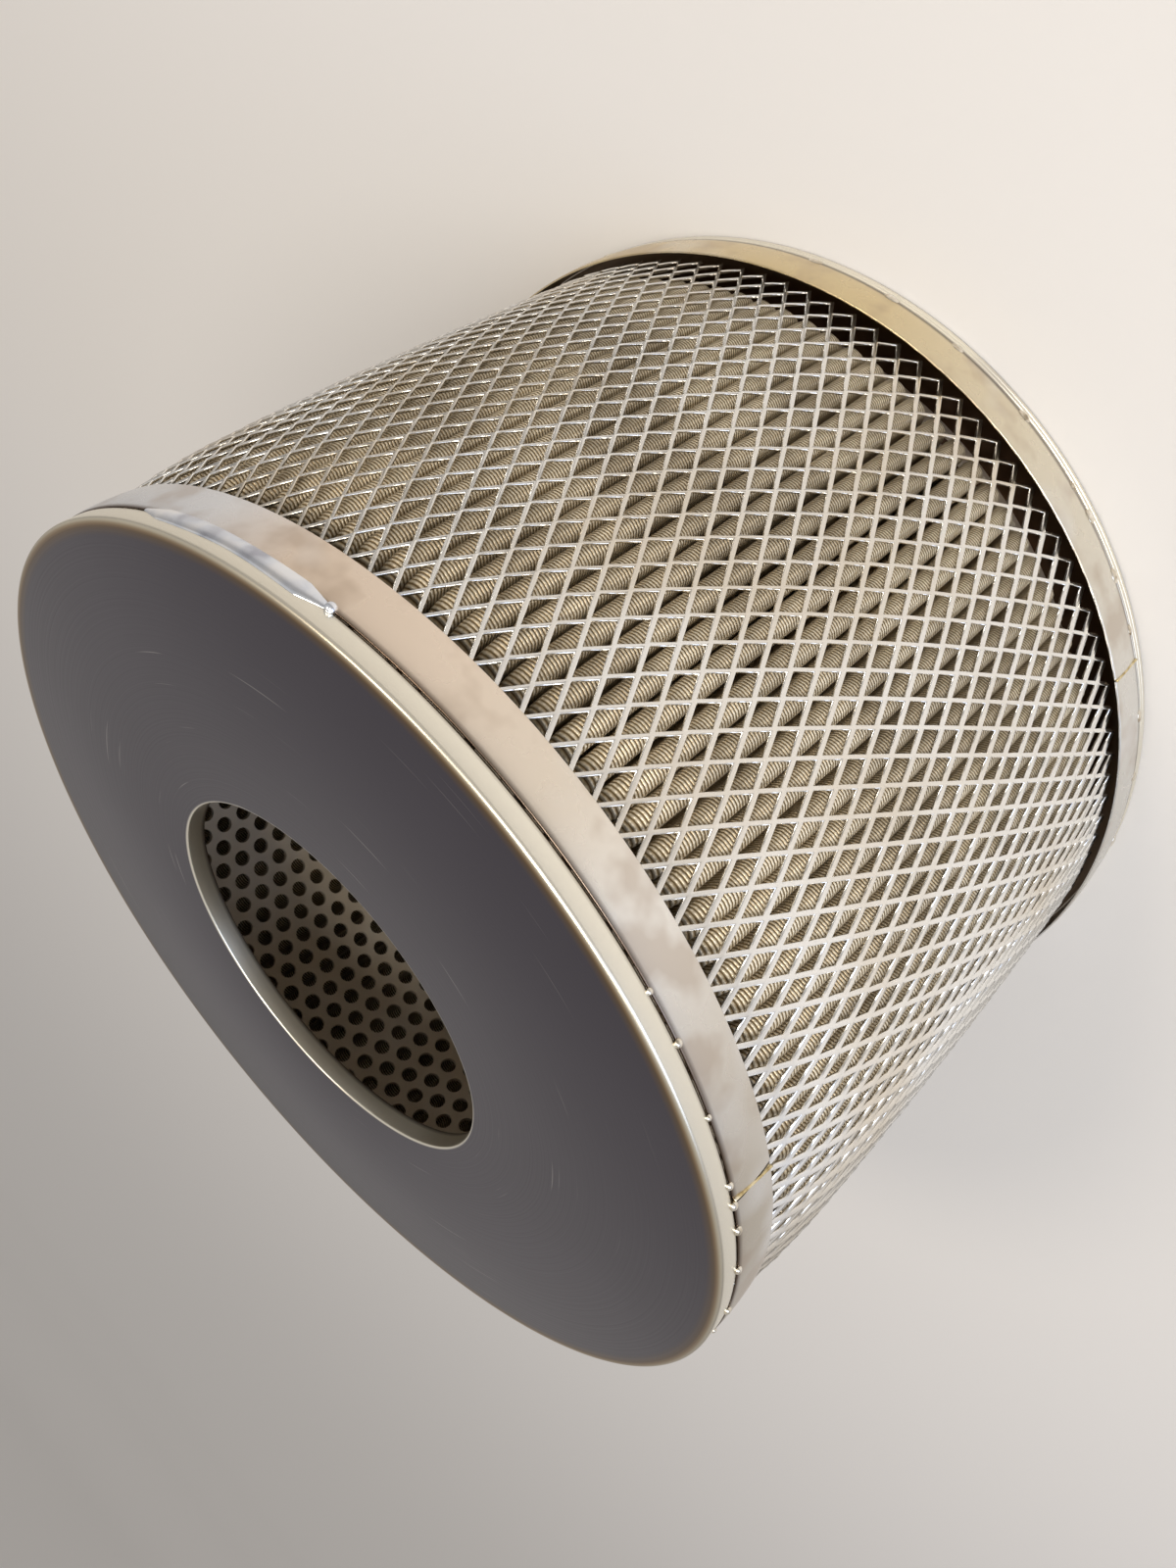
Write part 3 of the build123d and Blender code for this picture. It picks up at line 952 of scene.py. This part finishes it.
class CARTRIDGE_OT_stage(Operator):
    """Set the floor, the lights and the camera"""

    bl_idname = "cartridge.stage"
    bl_label = "Stage"

    def execute(self, context):
        scene = context.scene
        paper = studio_paper("pale_paper", tuple(scene.cartridge_colours.floor))
        bm = bmesh.new()
        line = [bm.verts.new((reach, 0, height)) for reach, height in FLOOR_SWEEP]
        for pair in zip(line, line[1:]):
            bm.edges.new(pair)
        spun(bm, tau, 64, use_merge=True)
        settle(bm, "floor", paper)
        world = bpy.data.worlds.new("studio")
        scene.world = world
        world.use_nodes = True
        shade = world.node_tree.nodes["Background"]
        shade.inputs[0].default_value = colour("dcd8d4")
        shade.inputs[1].default_value = ROOM_LIGHT
        for name, place, size, power, code in LAMPS:
            lamp = bpy.data.lights.new(name, "AREA")
            lamp.shape = "DISK"
            lamp.size = size
            lamp.energy = power
            lamp.color = colour(code)[:3]
            made = bpy.data.objects.new(name, lamp)
            scene.collection.objects.link(made)
            made.location = place
            made.rotation_euler = (Vector(AIM) - Vector(place)).to_track_quat("-Z", "Y").to_euler()
        lens = bpy.data.cameras.new("camera")
        lens.sensor_fit = "VERTICAL"
        lens.sensor_height = 36.0
        lens.lens = FOCAL_LENGTH
        lens.clip_start = 0.01
        camera = bpy.data.objects.new("camera", lens)
        scene.collection.objects.link(camera)
        right, up = Vector(VIEW_RIGHT), Vector(VIEW_UP)
        turn = Matrix((right, up, right.cross(up))).transposed()
        camera.matrix_world = Matrix.Translation(VIEWPOINT) @ turn.to_4x4()
        scene.camera = camera
        scene.view_settings.view_transform = "Standard"
        return {"FINISHED"}


class CARTRIDGE_PT_panel(Panel):
    """The steps, in order"""

    bl_idname = "CARTRIDGE_PT_panel"
    bl_label = "Filter Cartridge"
    bl_space_type = "VIEW_3D"
    bl_region_type = "UI"
    bl_category = "Cartridge"

    def draw(self, context):
        for step in STEPS:
            self.layout.operator(step.bl_idname)


STEPS = (
    CARTRIDGE_OT_plates,
    CARTRIDGE_OT_bands,
    CARTRIDGE_OT_tube,
    CARTRIDGE_OT_media,
    CARTRIDGE_OT_guard,
    CARTRIDGE_OT_welds,
    CARTRIDGE_OT_stage,
)
CLASSES = (CartridgeColours, CartridgeSizes, GuardSizes, MediaSizes, *STEPS, CARTRIDGE_PT_panel)


def register():
    for item in CLASSES:
        bpy.utils.register_class(item)
    bpy.types.Scene.cartridge_colours = PointerProperty(type=CartridgeColours)
    bpy.types.Scene.cartridge_sizes = PointerProperty(type=CartridgeSizes)
    bpy.types.Scene.cartridge_guard = PointerProperty(type=GuardSizes)
    bpy.types.Scene.cartridge_media = PointerProperty(type=MediaSizes)


def unregister():
    del bpy.types.Scene.cartridge_media
    del bpy.types.Scene.cartridge_guard
    del bpy.types.Scene.cartridge_sizes
    del bpy.types.Scene.cartridge_colours
    for item in reversed(CLASSES):
        bpy.utils.unregister_class(item)


def main():
    register()
    bpy.ops.cartridge.plates()
    bpy.ops.cartridge.bands()
    bpy.ops.cartridge.tube()
    bpy.ops.cartridge.media()
    bpy.ops.cartridge.guard()
    bpy.ops.cartridge.welds()
    bpy.ops.cartridge.stage()


if __name__ == "__main__":
    main()
